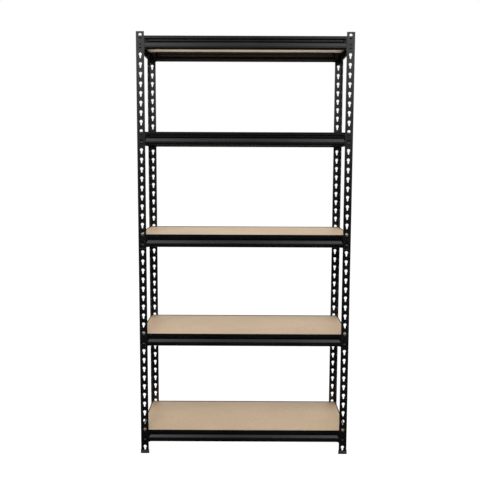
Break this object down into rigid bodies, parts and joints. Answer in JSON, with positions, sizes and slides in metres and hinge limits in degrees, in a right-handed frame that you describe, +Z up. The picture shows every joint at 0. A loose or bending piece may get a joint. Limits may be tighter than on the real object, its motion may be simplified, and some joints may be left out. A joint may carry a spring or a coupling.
{
  "type": "boltless steel shelving",
  "caption": "Free-standing boltless steel shelving: keyhole angle uprights, pressed beams hooked in with rivets, and loose particle-board decks.",
  "frame": {"origin": "on the floor at the middle of the footprint", "axes": "+X to the right along the width, +Y from front to back, +Z up"},
  "size_m": [0.9046, 0.4048, 1.8],
  "materials": {
    "powder_coated_steel": "satin black powder coat",
    "particle_board": "raw sanded board",
    "black_plastic": "matte moulded black"
  },
  "bodies": {
    "frame": {"post_front_left_lower": "powder_coated_steel", "post_front_left_upper": "powder_coated_steel", "joiner_front_left": "black_plastic", "foot_front_left": "black_plastic", "post_front_right_lower": "powder_coated_steel", "post_front_right_upper": "powder_coated_steel", "joiner_front_right": "black_plastic", "foot_front_right": "black_plastic", "post_rear_right_lower": "powder_coated_steel", "post_rear_right_upper": "powder_coated_steel", "joiner_rear_right": "black_plastic", "foot_rear_right": "black_plastic", "post_rear_left_lower": "powder_coated_steel", "post_rear_left_upper": "powder_coated_steel", "joiner_rear_left": "black_plastic", "foot_rear_left": "black_plastic"},
    "tier_1": {"tier_1_front_beam": "powder_coated_steel", "tier_1_rear_beam": "powder_coated_steel", "tier_1_left_beam": "powder_coated_steel", "tier_1_right_beam": "powder_coated_steel", "tier_1_long_beam_rivets": "powder_coated_steel", "tier_1_side_beam_rivets": "powder_coated_steel"},
    "deck_1": {"tier_1_deck": "particle_board"},
    "tier_2": {"tier_2_front_beam": "powder_coated_steel", "tier_2_rear_beam": "powder_coated_steel", "tier_2_left_beam": "powder_coated_steel", "tier_2_right_beam": "powder_coated_steel", "tier_2_long_beam_rivets": "powder_coated_steel", "tier_2_side_beam_rivets": "powder_coated_steel"},
    "deck_2": {"tier_2_deck": "particle_board"},
    "tier_3": {"tier_3_front_beam": "powder_coated_steel", "tier_3_rear_beam": "powder_coated_steel", "tier_3_left_beam": "powder_coated_steel", "tier_3_right_beam": "powder_coated_steel", "tier_3_long_beam_rivets": "powder_coated_steel", "tier_3_side_beam_rivets": "powder_coated_steel"},
    "deck_3": {"tier_3_deck": "particle_board"},
    "tier_4": {"tier_4_front_beam": "powder_coated_steel", "tier_4_rear_beam": "powder_coated_steel", "tier_4_left_beam": "powder_coated_steel", "tier_4_right_beam": "powder_coated_steel", "tier_4_long_beam_rivets": "powder_coated_steel", "tier_4_side_beam_rivets": "powder_coated_steel"},
    "deck_4": {"tier_4_deck": "particle_board"},
    "tier_5": {"tier_5_front_beam": "powder_coated_steel", "tier_5_rear_beam": "powder_coated_steel", "tier_5_left_beam": "powder_coated_steel", "tier_5_right_beam": "powder_coated_steel", "tier_5_long_beam_rivets": "powder_coated_steel", "tier_5_side_beam_rivets": "powder_coated_steel"},
    "deck_5": {"tier_5_deck": "particle_board"}
  },
  "joints": [
    {"name": "tier_1_unhook", "type": "slide", "parent": "frame", "child": "tier_1", "axis": [0, 0, 1], "range_m": [0, 0.01]},
    {"name": "deck_1_lift_out", "type": "slide", "parent": "tier_1", "child": "deck_1", "axis": [0, 0, 1], "range_m": [0, 0.1]},
    {"name": "tier_2_unhook", "type": "slide", "parent": "frame", "child": "tier_2", "axis": [0, 0, 1], "range_m": [0, 0.01]},
    {"name": "deck_2_lift_out", "type": "slide", "parent": "tier_2", "child": "deck_2", "axis": [0, 0, 1], "range_m": [0, 0.1]},
    {"name": "tier_3_unhook", "type": "slide", "parent": "frame", "child": "tier_3", "axis": [0, 0, 1], "range_m": [0, 0.01]},
    {"name": "deck_3_lift_out", "type": "slide", "parent": "tier_3", "child": "deck_3", "axis": [0, 0, 1], "range_m": [0, 0.1]},
    {"name": "tier_4_unhook", "type": "slide", "parent": "frame", "child": "tier_4", "axis": [0, 0, 1], "range_m": [0, 0.01]},
    {"name": "deck_4_lift_out", "type": "slide", "parent": "tier_4", "child": "deck_4", "axis": [0, 0, 1], "range_m": [0, 0.1]},
    {"name": "tier_5_unhook", "type": "slide", "parent": "frame", "child": "tier_5", "axis": [0, 0, 1], "range_m": [0, 0.01]},
    {"name": "deck_5_lift_out", "type": "slide", "parent": "tier_5", "child": "deck_5", "axis": [0, 0, 1], "range_m": [0, 0.1]}
  ]
}
